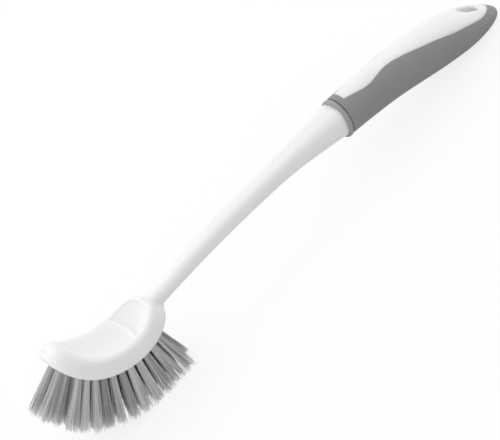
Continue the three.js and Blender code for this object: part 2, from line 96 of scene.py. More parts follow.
def shaped(piece, tool, operation):
    """Joins a tool to a piece, or cuts the piece with it, and uses the tool up."""
    step = piece.modifiers.new("shaped", "BOOLEAN")
    step.object, step.operation, step.solver = tool, operation, "MANIFOLD"
    bpy.context.view_layer.update()
    evaluated = piece.evaluated_get(bpy.context.evaluated_depsgraph_get())
    mesh = bpy.data.meshes.new_from_object(evaluated)
    piece.modifiers.clear()
    piece.data = mesh
    bpy.data.objects.remove(tool)


# The bow: neck and handle follow one upward arc, with distances from the front of the collar
BOW_RADIUS = 556.0
BOW_CREST = 17.4


def bow(distance):
    """Place and upward direction at a distance along the bow."""
    angle = (distance - BOW_CREST) / BOW_RADIUS
    up = np.array([math.sin(angle), 0, math.cos(angle)])
    return np.array([BOW_CREST, 0, -BOW_RADIUS]) + BOW_RADIUS * up, up


def rounded(value, squareness):
    return np.sign(value) * np.abs(value) ** (2 / squareness)


def section(distance, size, squareness, turns, inset=0.0):
    """Points of a rounded section square to the bow, at turns measured from the +Y side upwards."""
    centre, up = bow(distance)
    breadth, height, lift = size
    across = (breadth / 2 - inset) * rounded(np.cos(turns), squareness)
    above = (height / 2 - inset) * rounded(np.sin(turns), squareness)
    points = centre + np.outer(lift + above, up)
    points[:, 1] = across
    return points


OUTLINE_SAMPLES = 4001


def even_turns(half_a, half_b, squareness, count):
    """Turns at which points are evenly spaced round a rounded outline."""
    dense = np.linspace(0, 2 * math.pi, OUTLINE_SAMPLES)
    a = half_a * rounded(np.cos(dense), squareness)
    b = half_b * rounded(np.sin(dense), squareness)
    run = np.concatenate([[0], np.cumsum(np.hypot(np.diff(a), np.diff(b)))])
    return np.interp(np.linspace(0, run[-1], count, endpoint=False), run, dense)


# Neck: slender at the head, flaring at the collar, with a small fillet where it leaves the head
NECK_LENGTH = 121.0
NECK_FLARE_LENGTH = 43.6
NECK_FLARE_POWER = 1.5
NECK_AT_HEAD = np.array([7.9, 7.4, 0.0])
NECK_AT_FLARE = np.array([10.0, 9.4, 0.0])
NECK_AT_COLLAR = np.array([15.6, 15.4, 0.0])
NECK_SQUARENESS = (2.6, 2.9)
NECK_SWELL = 0.3
NECK_FILLET = 1.3
NECK_POINTS = 96


def neck_size(distance):
    if distance < -NECK_FLARE_LENGTH:
        share = (distance + NECK_LENGTH) / (NECK_LENGTH - NECK_FLARE_LENGTH)
        return NECK_AT_HEAD + (NECK_AT_FLARE - NECK_AT_HEAD) * share
    share = (1 + min(0.0, distance) / NECK_FLARE_LENGTH) ** NECK_FLARE_POWER
    return NECK_AT_FLARE + (NECK_AT_COLLAR - NECK_AT_FLARE) * share


def neck_squareness(distance):
    share = 1 + min(0.0, distance) / NECK_LENGTH
    even = NECK_SQUARENESS[0] + (NECK_SQUARENESS[1] - NECK_SQUARENESS[0]) * share
    return even + NECK_SWELL * math.sin(math.pi * min(1.0, max(0.0, share)))


# Handle: breadth, height and lift off the bow behind the collar, at the waist, at the palm and at the end
HANDLE_LENGTH = 100.2
HANDLE_END_LENGTH = 28.0
TOP_SQUARENESS = 2.0
UNDERSIDE_SQUARENESS = 2.3
COLLAR_SIZE = (18.2, 19.4, 0.0)
COLLAR_ROUND = 0.5
COLLAR_BEAD = 2.0
COLLAR_GROOVE_WIDTH = 0.6
BAND_LENGTH = 2.7
BAND_START = COLLAR_BEAD + COLLAR_GROOVE_WIDTH
STRIP_START = BAND_START + BAND_LENGTH
HANDLE_PLACES = np.array([BAND_START, 30.4, 62.4, HANDLE_LENGTH])
HANDLE_SIZES = np.array([
    [17.6, 19.2, 0.2],
    [18.6, 21.1, 1.05],
    [22.8, 21.9, 1.05],
    [23.4, 11.6, -0.2],
])
GRIP_WALL = 1.8
BOND_GAP = 0.05


def run_through(places, values, place):
    """Smooth run of values through places."""
    slopes = np.diff(values, axis=0) / np.diff(places)[:, None]
    tangents = np.concatenate([slopes[:1], (slopes[1:] + slopes[:-1]) / 2, slopes[-1:]])
    i = int(np.clip(np.searchsorted(places, place) - 1, 0, len(places) - 2))
    step = places[i + 1] - places[i]
    t = (place - places[i]) / step
    start, end = values[i], values[i + 1]
    leave, arrive = tangents[i] * step, tangents[i + 1] * step
    bend = 3 * (end - start) - 2 * leave - arrive
    return start + leave * t + bend * t**2 + (2 * (start - end) + leave + arrive) * t**3


def handle_squareness(turns):
    return np.where(np.sin(turns) > 0, TOP_SQUARENESS, UNDERSIDE_SQUARENESS)


def handle_ring(distance, turns, wall=0.0, inset=0.0):
    """Section of the handle, closed by an elliptical end, or of the form a wall's thickness inside it."""
    past = max(0.0, distance - HANDLE_LENGTH + HANDLE_END_LENGTH) / HANDLE_END_LENGTH
    closing = math.sqrt(max(0.0, 1 - past**2))
    breadth, height, lift = run_through(HANDLE_PLACES, HANDLE_SIZES, distance)
    size = ((breadth - 2 * wall) * closing, (height - 2 * wall) * closing, lift)
    return section(distance - wall * past, size, handle_squareness(turns), turns, inset)


def end_distances(start, steps):
    """Distances that crowd towards the tip of the handle's rounded end."""
    end_start = HANDLE_LENGTH - HANDLE_END_LENGTH
    first_turn = math.asin((start - end_start) / HANDLE_END_LENGTH)
    turns = np.linspace(first_turn, math.pi / 2, steps)
    return end_start + HANDLE_END_LENGTH * np.sin(turns)


# Head: drawn flat, with s along the underside from its middle, n across and h above it, then curled
UNDERSIDE_RADIUS = 38.0
HEAD_ARC = math.radians(101.5)
HEAD_MIDDLE_ANGLE = math.radians(39.5) - HEAD_ARC / 2
HEAD_HALF_LENGTH = UNDERSIDE_RADIUS * HEAD_ARC / 2
HEAD_HALF_WIDTH = 14.0
HEAD_THICKNESS = 9.0
HEAD_SQUARENESS = 2.9
HEAD_EDGE = 0.5
HEAD_POINTS = 256
WALL_DRAFT = 0.6
RIM_RADIUS = 2.1
FRONT_LEAN = 4.8
FRONT_ROUND = 6.0
FRONT_EDGE = 1.4
DISH_DEPTH = 1.0
NECK_ENTRY_ANGLE = math.radians(33)
NECK_ENTRY_HEIGHT = 3.9
entry_radius = UNDERSIDE_RADIUS - NECK_ENTRY_HEIGHT
entry_direction = np.array([-math.sin(NECK_ENTRY_ANGLE), 0, math.cos(NECK_ENTRY_ANGLE)])
curl_axis = bow(-NECK_LENGTH)[0] + entry_radius * entry_direction


def curl(s, n, h):
    """Points of the curled head from places on its flat drawing."""
    angle = HEAD_MIDDLE_ANGLE + np.asarray(s) / UNDERSIDE_RADIUS
    radius = UNDERSIDE_RADIUS - np.asarray(h)
    x, z = curl_axis[0] + radius * np.sin(angle), curl_axis[2] - radius * np.cos(angle)
    return np.stack(np.broadcast_arrays(x, n, z), -1)


# Cup at the rear of the head's top: its floor rises to a rounded edge, with the highest step and a low crest
# along its front
CUP_FRONT = 24.0
CUP_FRONT_BULGE = 2.2
CUP_HALF_WIDTH = 10.0
CUP_RIM = 3.2
CUP_DEPTH = 1.1
CUP_SIDE_STEP = 0.25
CUP_FRONT_STEP = 0.4
CUP_EDGE = (-1.2, 1.2)
CUP_FLOOR_POWER = 3
CUP_CREST = 0.16
CUP_CREST_AWAY = 1.0
CUP_CREST_WIDTH = 1.1
CUP_REAR_ROUND = 1.2
CUP_STEPS = 80


def bezier(a, b, c, d, steps):
    t = np.linspace(0, 1, steps, endpoint=False)[:, None]
    a, b, c, d = map(np.array, (a, b, c, d))
    return a * (1 - t)**3 + 3 * b * t * (1 - t)**2 + 3 * c * t**2 * (1 - t) + d * t**3


def eased(value, low, high):
    t = np.clip((value - low) / (high - low), 0, 1)
    return t * t * (3 - 2 * t)


cup_front_s = HEAD_HALF_LENGTH - CUP_FRONT + CUP_RIM
cup_rear_s = HEAD_HALF_LENGTH - CUP_RIM
cup_edge_s = cup_front_s + CUP_FRONT_BULGE
cup_middle_s = (cup_edge_s + cup_rear_s) / 2
side, rear = CUP_HALF_WIDTH, cup_rear_s
blunt = side / CUP_REAR_ROUND
bulge = cup_front_s + 4 * CUP_FRONT_BULGE / 3
cup_outline = np.concatenate([
    bezier((cup_front_s, -side), (rear - side / 2, -side), (rear, -blunt), (rear, 0), CUP_STEPS),
    bezier((rear, 0), (rear, blunt), (rear - side / 2, side), (cup_front_s, side), CUP_STEPS),
    bezier((cup_front_s, side), (bulge, side / 3), (bulge, -side / 3), (cup_front_s, -side), CUP_STEPS),
])
cup_reach = np.hypot(cup_outline[:, 0] - cup_middle_s, cup_outline[:, 1])
cup_bearing = np.arctan2(cup_outline[:, 1], cup_outline[:, 0] - cup_middle_s)
by_bearing = np.argsort(cup_bearing)


def cup_depth(s, n):
    """How far the top of the head lies below its plain dish."""
    bearing = np.arctan2(n, s - cup_middle_s)
    reach = np.interp(bearing, cup_bearing[by_bearing], cup_reach[by_bearing], period=2 * math.pi)
    out = np.hypot(s - cup_middle_s, n)
    frontward = np.maximum(0, -np.cos(bearing))
    step = CUP_SIDE_STEP + (CUP_FRONT_STEP - CUP_SIDE_STEP) * frontward
    floor = CUP_DEPTH - (CUP_DEPTH - step) * np.minimum(1, out / reach)**CUP_FLOOR_POWER
    beyond = out - reach
    crest = CUP_CREST * frontward * np.exp(-((beyond - CUP_CREST_AWAY) / CUP_CREST_WIDTH)**2)
    return floor * (1 - eased(beyond, *CUP_EDGE)) - crest


head_turns = even_turns(HEAD_HALF_LENGTH, HEAD_HALF_WIDTH, HEAD_SQUARENESS, HEAD_POINTS)
outline_s = rounded(np.cos(head_turns), HEAD_SQUARENESS)
outline_n = rounded(np.sin(head_turns), HEAD_SQUARENESS)
front_share = np.maximum(0, -outline_s)**2
rim_round = RIM_RADIUS + (FRONT_ROUND - RIM_RADIUS) * front_share
edge_round = HEAD_EDGE + (FRONT_EDGE - HEAD_EDGE) * front_share


def head_places(inset, h, scale=1.0):
    """Places s and n round the head's outline, drawn in by an inset. The front wall leans out upwards."""
    lean = FRONT_LEAN * front_share * h / HEAD_THICKNESS
    s = outline_s * scale * (HEAD_HALF_LENGTH - inset + lean)
    return s, outline_n * scale * (HEAD_HALF_WIDTH - inset)


UNDERSIDE_SCALES = np.linspace(0.04, 1, 12)
EDGE_TURNS = np.linspace(0, math.pi / 2, 7)[1:]
WALL_SHARES = (0.3, 0.6, 0.85)
RIM_TURNS = np.linspace(0, math.pi / 2, 12)
TOP_SCALES = np.linspace(1, 0.02, 60)[1:]
head_rings = []
for scale in UNDERSIDE_SCALES:
    head_rings.append(curl(*head_places(edge_round, 0.0, scale), 0.0))
for turn in EDGE_TURNS:
    inset, h = edge_round * (1 - math.sin(turn)), edge_round * (1 - math.cos(turn))
    head_rings.append(curl(*head_places(inset, h), h))
for share in WALL_SHARES:
    h = edge_round + (HEAD_THICKNESS - rim_round - edge_round) * share
    head_rings.append(curl(*head_places(WALL_DRAFT * share, h), h))
for turn in RIM_TURNS:
    h = HEAD_THICKNESS - rim_round * (1 - math.sin(turn))
    inset = WALL_DRAFT + rim_round * (1 - math.cos(turn))
    head_rings.append(curl(*head_places(inset, h), h))
for scale in TOP_SCALES:
    h = HEAD_THICKNESS - DISH_DEPTH * (1 - scale**2)**2
    s, n = head_places(WALL_DRAFT + rim_round, h, scale)
    head_rings.append(curl(s, n, h - cup_depth(s, n)))
brush_body = lofted("moulded_brush_body", head_rings)


def clear_of_wall(points):
    """How far points lie behind the rear wall of the head."""
    x, z = points[:, 0] - curl_axis[0], curl_axis[2] - points[:, 2]
    s = UNDERSIDE_RADIUS * (np.arctan2(x, z) - HEAD_MIDDLE_ANGLE)
    h = np.clip(UNDERSIDE_RADIUS - np.hypot(x, z), HEAD_EDGE, HEAD_THICKNESS)
    drop = np.clip((HEAD_THICKNESS - h) / RIM_RADIUS, 0, 1)
    inset = WALL_DRAFT + RIM_RADIUS * (1 - np.sqrt(1 - (1 - drop)**2))
    aside = np.minimum(1, np.abs(points[:, 1]) / (HEAD_HALF_WIDTH - inset))
    wall_s = (HEAD_HALF_LENGTH - inset) * (1 - aside**HEAD_SQUARENESS)**(1 / HEAD_SQUARENESS)
    return (s - wall_s) * (UNDERSIDE_RADIUS - h) / UNDERSIDE_RADIUS


# Spine: the neck with its fillet, then the core that the grip is moulded over
NECK_SUNK = 1.0
NECK_ROOT_LENGTH = 9.0
NECK_ROOT_RINGS = 56
NECK_RINGS = 130
FILLET_PASSES = 30
CORE_RINGS = 40
CORE_END_RINGS = 20
spine_rings = []
neck_distances = np.concatenate([
    np.linspace(-NECK_LENGTH - NECK_SUNK, -NECK_LENGTH + NECK_ROOT_LENGTH, NECK_ROOT_RINGS),
    np.linspace(-NECK_LENGTH + NECK_ROOT_LENGTH + 1, 0, NECK_RINGS),
])
for distance in neck_distances:
    size, squareness = neck_size(distance), neck_squareness(distance)
    turns = even_turns(size[0], size[1], squareness, NECK_POINTS)
    ring = section(distance, size, squareness, turns)
    outward = ring - bow(distance)[0]
    outward /= np.linalg.norm(outward, axis=1)[:, None]
    swell = np.full(NECK_POINTS, NECK_FILLET / 2)
    for _ in range(FILLET_PASSES):
        clear = np.clip(clear_of_wall(ring + outward * swell[:, None]) / NECK_FILLET, 0, 1)
        swell = (swell + NECK_FILLET * (1 - np.sqrt(1 - (1 - clear)**2))) / 2
    spine_rings.append(ring + outward * swell[:, None])
turns = even_turns(1, 1, UNDERSIDE_SQUARENESS, NECK_POINTS)
core_inset = GRIP_WALL + BOND_GAP
spine_rings.append(section(COLLAR_ROUND, COLLAR_SIZE, handle_squareness(turns), turns, core_inset))
core_distances = [
    *np.linspace(STRIP_START, HANDLE_LENGTH - HANDLE_END_LENGTH, CORE_RINGS),
    *end_distances(HANDLE_LENGTH - HANDLE_END_LENGTH, CORE_END_RINGS)[1:-1],
]
for distance in core_distances:
    spine_rings.append(handle_ring(distance, turns, core_inset))
shaped(brush_body, lofted("spine", spine_rings), "UNION")


# Bare strip: half widths along the handle, narrow at the waist and wide in the palm
STRIP_HALVES = [
    (STRIP_START, 3.5),
    (18.0, 5.8),
    (32.4, 4.6),
    (52.4, 7.8),
    (HANDLE_LENGTH - 29.0, 9.8),
    (HANDLE_LENGTH - 13.0, 8.0),
]
STRIP_END = 4.5
STRIP_DEPTH = 3.2
STRIP_COLUMNS = 28
STRIP_EDGE_STEPS = 28
STRIP_PASSES = 12
GRIP_COLUMNS = 84
SECTION_SAMPLES = 800
EDGE_ROUND = 0.22
EDGE_STEPS = EDGE_ROUND * np.array([0, 0.12, 0.35, 0.65, 1])


def curve_through(points, steps):
    """Smooth curve through points, with so many steps between each two."""
    padded = np.array([points[0], *points, points[-1]])
    t = np.linspace(0, 1, steps, endpoint=False)[:, None]
    runs = []
    for before, start, end, after in zip(padded, padded[1:], padded[2:], padded[3:]):
        leave, arrive = (end - before) / 2, (after - start) / 2
        bend = 3 * (end - start) - 2 * leave - arrive
        runs.append(start + leave * t + bend * t**2 + (2 * (start - end) + leave + arrive) * t**3)
    return np.concatenate([*runs, padded[-1:]])


def handle_turn(distance, half):
    """Turn at which the top of the handle reaches a half width."""
    past = max(0.0, distance - HANDLE_LENGTH + HANDLE_END_LENGTH) / HANDLE_END_LENGTH
    breadth = run_through(HANDLE_PLACES, HANDLE_SIZES, distance)[0] * math.sqrt(max(1e-9, 1 - past**2))
    return math.acos(min(1.0, (2 * half / breadth)) ** (TOP_SQUARENESS / 2))


one_side = [(bow(place)[0][0], half) for place, half in STRIP_HALVES]
tip = (bow(HANDLE_LENGTH - STRIP_END)[0][0], 0.0)
other_side = [(x, -half) for x, half in reversed(one_side)]
whole_edge = curve_through([*one_side, tip, *other_side], STRIP_EDGE_STEPS)
strip_edge = whole_edge[: STRIP_EDGE_STEPS * len(one_side) + 1]
strip_places = []
for x, half in strip_edge:
    distance = x
    for _ in range(STRIP_PASSES):
        turn = handle_turn(distance, abs(half))
        distance += x - handle_ring(distance, np.array([turn]))[0, 0]
    strip_places.append(distance)
strip_places = np.array(strip_places)
strip_front, strip_tip = strip_places[0], strip_places[-1]
strip_distances = np.unique(np.concatenate([strip_places, strip_front + EDGE_STEPS]))
strip_halves = np.interp(strip_distances, strip_places, np.abs(strip_edge[:, 1]))


def columns(distance, start, stop, count):
    """Turns across the handle's section, crowded at both ends, and the way from each to the nearer end."""
    dense = np.linspace(start, stop, SECTION_SAMPLES)
    line = handle_ring(distance, dense)
    run = np.concatenate([[0], np.cumsum(np.linalg.norm(np.diff(line, axis=0), axis=1))])
    edge = EDGE_STEPS * min(1.0, run[-1] / (4 * EDGE_ROUND))
    middle = np.linspace(edge[-1], run[-1] - edge[-1], count)
    ways = np.concatenate([edge[:-1], middle, run[-1] - edge[-2::-1]])
    return np.interp(ways, run, dense), np.minimum(ways, run[-1] - ways)


def rounded_off(way):
    """How far an edge drops at a way in from it."""
    short = EDGE_ROUND - np.minimum(way, EDGE_ROUND)
    return EDGE_ROUND - np.sqrt(EDGE_ROUND**2 - short**2)


def grid_faces(first, rows, count):
    """Quads of a grid of points, from the index of its first point."""
    at = first + np.arange(rows * count).reshape(rows, count)
    corners = np.stack([at[:-1, :-1], at[:-1, 1:], at[1:, 1:], at[1:, :-1]], -1)
    return corners.reshape(-1, 4).tolist()


MERGE_DIGITS = 5


def shell(name, outer, inner, faces):
    """A closed solid between an outer and an inner sheet of matching points, walled along their edges."""
    _, first, same = np.unique(np.round(outer, MERGE_DIGITS), axis=0, return_index=True, return_inverse=True)
    merged = first[same.ravel()]
    outside = [list(dict.fromkeys(merged[face].tolist())) for face in faces]
    outside = [face for face in outside if len(face) > 2]
    edges = {}
    for face in outside:
        for a, b in zip(face, face[1:] + face[:1]):
            if edges.pop((b, a), None) is None:
                edges[a, b] = True
    shift = len(outer)
    inside = [[i + shift for i in reversed(face)] for face in outside]
    walls = [[b, a, a + shift, b + shift] for a, b in edges]
    return solid(name, np.concatenate([outer, inner]), outside + inside + walls)


strip_outer, strip_inner = [], []
for distance, half in zip(strip_distances, strip_halves):
    turn = handle_turn(distance, half)
    turns, way = columns(distance, math.pi - turn, turn, STRIP_COLUMNS)
    way = np.minimum(way, distance - strip_front)
    strip_outer.append(handle_ring(distance, turns, inset=rounded_off(way)))
    strip_inner.append(handle_ring(distance, turns, inset=STRIP_DEPTH))
strip_faces = grid_faces(0, len(strip_outer), len(strip_outer[0]))
strip = shell("strip", np.concatenate(strip_outer), np.concatenate(strip_inner), strip_faces)
shaped(brush_body, strip, "UNION")

# Hanging hole: a long hole through the strip and the grip, with a dished mouth that follows the slope
HANG_HOLE_LENGTH = 10.0
HANG_HOLE_WIDTH = 6.6
HANG_HOLE_FROM_END = 15.8
HANG_HOLE_DISH = 2.2
HANG_HOLE_DISH_DEPTH = 2.0
HANG_HOLE_DISH_RINGS = 14
HANG_HOLE_BELOW = 40.0
HANG_HOLE_ABOVE = 10.0
HANG_HOLE_POINTS = 96


def hang_hole():
    """A solid that cuts the hanging hole."""
    straight = (HANG_HOLE_LENGTH - HANG_HOLE_WIDTH) / 2
    top = np.array([math.pi / 2])
    middle, before, after = (
        handle_ring(HANDLE_LENGTH - HANG_HOLE_FROM_END + shift, top)[0]
        for shift in (0, -HANG_HOLE_LENGTH / 2, HANG_HOLE_LENGTH / 2)
    )
    slope = (after[2] - before[2]) / (after[0] - before[0])
    turns = np.linspace(0, 2 * math.pi, HANG_HOLE_POINTS, endpoint=False) + math.pi / HANG_HOLE_POINTS

    def ring(grow, level):
        radius = HANG_HOLE_WIDTH / 2 + grow
        x = radius * np.cos(turns) + np.sign(np.cos(turns)) * straight
        y = radius * np.sin(turns)
        return np.stack([middle[0] + x, y, middle[2] + level + slope * x], -1)

    rings = [ring(0, -HANG_HOLE_BELOW)]
    for turn in np.linspace(0, math.pi / 2, HANG_HOLE_DISH_RINGS):
        level = HANG_HOLE_DISH_DEPTH * (math.sin(turn) - 1)
        rings.append(ring(HANG_HOLE_DISH * (1 - math.cos(turn)), level))
    return lofted("hang_hole", [*rings, ring(2 * HANG_HOLE_DISH, HANG_HOLE_ABOVE)])


shaped(brush_body, hang_hole(), "DIFFERENCE")

# Tuft holes: four staggered rows in the underside, each in line with its tuft and with a rounded mouth
TUFTS_PER_ROW = (11, 13, 13, 11)
FIELD_SIDE = 3.2
FIELD_FRONT = 4.4
FIELD_REAR = 8.6
ROW_SPLAY = math.radians(8)
FAN_RAISE = 4.0
TUFT_HOLE_RADIUS = 1.5
TUFT_HOLE_DEPTH = 6.0
TUFT_HOLE_MOUTH = ((0.0, -0.3), (0.12, -0.08), (0.3, 0.05), (0.3, 1.0))
TUFT_HOLE_POINTS = 28
row_pitch = 2 * (HEAD_HALF_WIDTH - FIELD_SIDE) / len(TUFTS_PER_ROW)
middle_row = (len(TUFTS_PER_ROW) - 1) / 2
outer_row = middle_row * row_pitch
field_length = 2 * HEAD_HALF_LENGTH - FIELD_FRONT - FIELD_REAR
field_middle = (FIELD_FRONT - FIELD_REAR) / 2
tuft_pitch = field_length / max(TUFTS_PER_ROW)
head_middle = np.array([math.sin(HEAD_MIDDLE_ANGLE), 0, -math.cos(HEAD_MIDDLE_ANGLE)])
fan_centre = curl_axis - FAN_RAISE * head_middle


def fan_direction(s):
    way = curl(s, 0.0, 0.0) - fan_centre
    return way / np.linalg.norm(way)


def tuft_frame(s, n):
    """Root of a tuft, and its directions along the row, across it and out along the bristles."""
    splay = ROW_SPLAY * n / outer_row
    out = math.cos(splay) * fan_direction(s) + np.array([0, math.sin(splay), 0])
    across = np.array([0, 1.0, 0]) - out[1] * out
    across /= np.linalg.norm(across)
    return curl(s, n, 0.0), np.cross(across, out), across, out


tuft_rows = []
for row, count in enumerate(TUFTS_PER_ROW):
    n = (row - middle_row) * row_pitch
    row_middle = field_middle + (tuft_pitch / 2 if count < max(TUFTS_PER_ROW) else 0)
    places = row_middle + (np.arange(count) - (count - 1) / 2) * tuft_pitch
    tuft_rows.append([tuft_frame(s, n) for s in places])

hole_points, hole_faces = [], []
turns = np.linspace(0, 2 * math.pi, TUFT_HOLE_POINTS, endpoint=False)
hole_profile = [(TUFT_HOLE_RADIUS, -TUFT_HOLE_DEPTH)]
hole_profile += [(TUFT_HOLE_RADIUS + grow, level) for grow, level in TUFT_HOLE_MOUTH]
for root, along, across, out in (tuft for tufts in tuft_rows for tuft in tufts):
    first = len(hole_points)
    for radius, level in hole_profile:
        spokes = np.outer(np.cos(turns), along) + np.outer(np.sin(turns), across)
        hole_points.extend(root + radius * spokes + level * out)
    for j in range(TUFT_HOLE_POINTS):
        k = (j + 1) % TUFT_HOLE_POINTS
        for i in range(len(hole_profile) - 1):
            here, there = first + i * TUFT_HOLE_POINTS, first + (i + 1) * TUFT_HOLE_POINTS
            hole_faces.append((here + j, here + k, there + k, there + j))
    last = first + (len(hole_profile) - 1) * TUFT_HOLE_POINTS
    hole_faces.append(tuple(range(first, first + TUFT_HOLE_POINTS))[::-1])
    hole_faces.append(tuple(range(last, last + TUFT_HOLE_POINTS)))
shaped(brush_body, solid("tuft_holes", np.array(hole_points), hole_faces), "DIFFERENCE")


def linear(hex_colour):
    """A colour given in sRGB hex, in linear light."""
    levels = [int(hex_colour[i : i + 2], 16) / 255 for i in (1, 3, 5)]
    return (*[v / 12.92 if v <= 0.04045 else ((v + 0.055) / 1.055) ** 2.4 for v in levels], 1.0)


def add_node(tree, kind, inputs=(), **settings):
    """Adds a node with its settings, and gives each input a value or a link from another node's output."""
    node = tree.nodes.new(kind)
    for name, value in settings.items():
        setattr(node, name, value)
    for name, value in dict(inputs).items():
        if isinstance(value, bpy.types.NodeSocket):
            tree.links.new(value, node.inputs[name])
        else:
            node.inputs[name].default_value = value
    return node


def new_material(name):
    material = bpy.data.materials.new(name)
    material.use_nodes = True
    material.node_tree.nodes.clear()
    return material, material.node_tree


# White polypropylene, injection-moulded in a polished mould: a soft gloss, a little depth under the surface,
# faint flow clouds in the white, and a very shallow orange peel that breaks up reflections. The peel is
# drawn coarse enough to show.
BODY_WHITE = "#F5F5F5"
BODY_CLOUD = "#EFEFEF"
BODY_CLOUD_SIZE = 14.0
BODY_PEEL_SIZE = 1.6
BODY_IOR = 1.49
BODY_CLOUDINESS = 0.6
BODY_DEPTH = 3.0
BODY_GLOSS = (0.18, 0.26)
BODY_PEEL_HEIGHT = 0.02
polypropylene, tree = new_material("moulded_white_polypropylene")
place = add_node(tree, "ShaderNodeTexCoord").outputs["Object"]
clouds = add_node(tree, "ShaderNodeTexNoise",
                  {"Vector": place, "Scale": 1 / (BODY_CLOUD_SIZE * MM), "Detail": 3.0, "Roughness": 0.55})
peel = add_node(tree, "ShaderNodeTexNoise",
                {"Vector": place, "Scale": 1 / (BODY_PEEL_SIZE * MM), "Detail": 2.0, "Roughness": 0.5})
colour = add_node(tree, "ShaderNodeMix",
                  {0: clouds.outputs[0], 6: linear(BODY_WHITE), 7: linear(BODY_CLOUD)}, data_type="RGBA")
gloss = add_node(tree, "ShaderNodeMapRange", {"Value": clouds.outputs[0], "From Min": 0.3, "From Max": 0.7,
                                              "To Min": BODY_GLOSS[0], "To Max": BODY_GLOSS[1]})
bump = add_node(tree, "ShaderNodeBump",
                {"Height": peel.outputs[0], "Strength": 0.25, "Distance": BODY_PEEL_HEIGHT * MM})
shader = add_node(tree, "ShaderNodeBsdfPrincipled",
                  {"Base Color": colour.outputs[2], "Roughness": gloss.outputs[0], "Normal": bump.outputs[0],
                   "IOR": BODY_IOR, "Subsurface Weight": BODY_CLOUDINESS,
                   "Subsurface Radius": (1.0, 1.0, 1.0), "Subsurface Scale": BODY_DEPTH * MM})
add_node(tree, "ShaderNodeOutputMaterial", {"Surface": shader.outputs[0]})


def finish_surface(piece, material, sharp_angle):
    """Gives a piece its material and smooth shading, with sharp edges past an angle."""
    piece.data.materials.clear()
    piece.data.materials.append(material)
    piece.data.shade_smooth()
    piece.data.set_sharp_from_angle(angle=math.radians(sharp_angle))


MOULDED_SHARP_ANGLE = 38
finish_surface(brush_body, polypropylene, MOULDED_SHARP_ANGLE)
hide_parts("brush_body")
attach(brush_body, "root")


# Soft grip: a shell round the handle, open over the bare strip, with a beaded collar at its front.
# It is grey thermoplastic rubber, moulded over the core of the body and bonded to it, flush with the strip.
COLLAR_GROOVE_DEPTH = 0.9
COLLAR_GROOVE_SHARES = (0.12, 0.5, 0.88)
COLLAR_ROUND_RINGS = 6
BAND_FLAT_FRONT = 1.0
BAND_FLAT_REAR = 0.3
BAND_FLAT_RINGS = 4
NECK_ROOM = 0.1
GRIP_END_RINGS = 26

front_turn = handle_turn(strip_front, strip_halves[0])
strip_turns, strip_way = columns(strip_front, math.pi - front_turn, front_turn, STRIP_COLUMNS)
grip_turns, grip_way = columns(strip_front, front_turn, -math.pi - front_turn, GRIP_COLUMNS)
arc = np.linspace(0, math.pi / 2, COLLAR_ROUND_RINGS)
bead_rise = list(zip(COLLAR_ROUND * (1 - np.cos(arc)), COLLAR_ROUND * (1 - np.sin(arc))))
bead_fall = [(COLLAR_BEAD - distance, inset) for distance, inset in reversed(bead_rise)]
groove_places = [COLLAR_BEAD + share * COLLAR_GROOVE_WIDTH for share in COLLAR_GROOVE_SHARES]
groove = [(distance, COLLAR_GROOVE_DEPTH) for distance in groove_places]
band = [(BAND_START + distance, inset) for distance, inset in bead_rise]
flat_places = np.linspace(BAND_START + BAND_FLAT_FRONT, strip_front - BAND_FLAT_REAR, BAND_FLAT_RINGS)
band_rest = [(distance, 0.0) for distance in flat_places]
band_rest += [(strip_front - step, 0.0) for step in EDGE_STEPS[::-1]]

grip_outer, grip_inner, cap_outer, cap_inner = [], [], [], []
neck_mouth = NECK_AT_COLLAR + np.array([NECK_ROOM, NECK_ROOM, 0.0])
for distance, inset in [*bead_rise, *bead_fall, *groove, *band, *band_rest]:
    for turns, way, outer, inner in (
        (strip_turns, np.zeros_like(strip_way), cap_outer, cap_inner),
        (grip_turns, grip_way, grip_outer, grip_inner),
    ):
        drop = inset + rounded_off(np.hypot(way, strip_front - distance))
        if distance < BAND_START:
            outer.append(section(distance, COLLAR_SIZE, handle_squareness(turns), turns, drop))
        else:
            outer.append(handle_ring(distance, turns, inset=drop))
        mouth = section(distance, neck_mouth, NECK_SQUARENESS[1], turns)
        under_bead = section(distance, COLLAR_SIZE, handle_squareness(turns), turns, GRIP_WALL)
        core = handle_ring(max(distance, BAND_START), turns, GRIP_WALL)
        in_mouth = 1 - eased(distance, 0, COLLAR_ROUND)
        past_bead = eased(distance, BAND_START, strip_front)
        inner.append(mouth * in_mouth + core * past_bead + under_bead * (1 - in_mouth - past_bead))
front_rings = len(grip_outer)
rear_distances = end_distances(strip_tip, GRIP_END_RINGS)[1:]
for distance in [*strip_distances[1:], *rear_distances]:
    half = np.interp(distance, strip_distances, strip_halves, right=0.0)
    turn = handle_turn(distance, half)
    turns, way = columns(distance, turn, -math.pi - turn, GRIP_COLUMNS)
    way = np.hypot(way, max(0.0, distance - strip_tip))
    grip_outer.append(handle_ring(distance, turns, inset=rounded_off(way)))
    grip_inner.append(handle_ring(distance, turns, GRIP_WALL))
grip_faces = grid_faces(0, len(grip_outer), len(grip_turns))
grip_faces += grid_faces(len(grip_outer) * len(grip_turns), front_rings, len(strip_turns))
grip = shell("overmoulded_grip", np.concatenate([*grip_outer, *cap_outer]),
             np.concatenate([*grip_inner, *cap_inner]), grip_faces)
shaped(grip, hang_hole(), "DIFFERENCE")

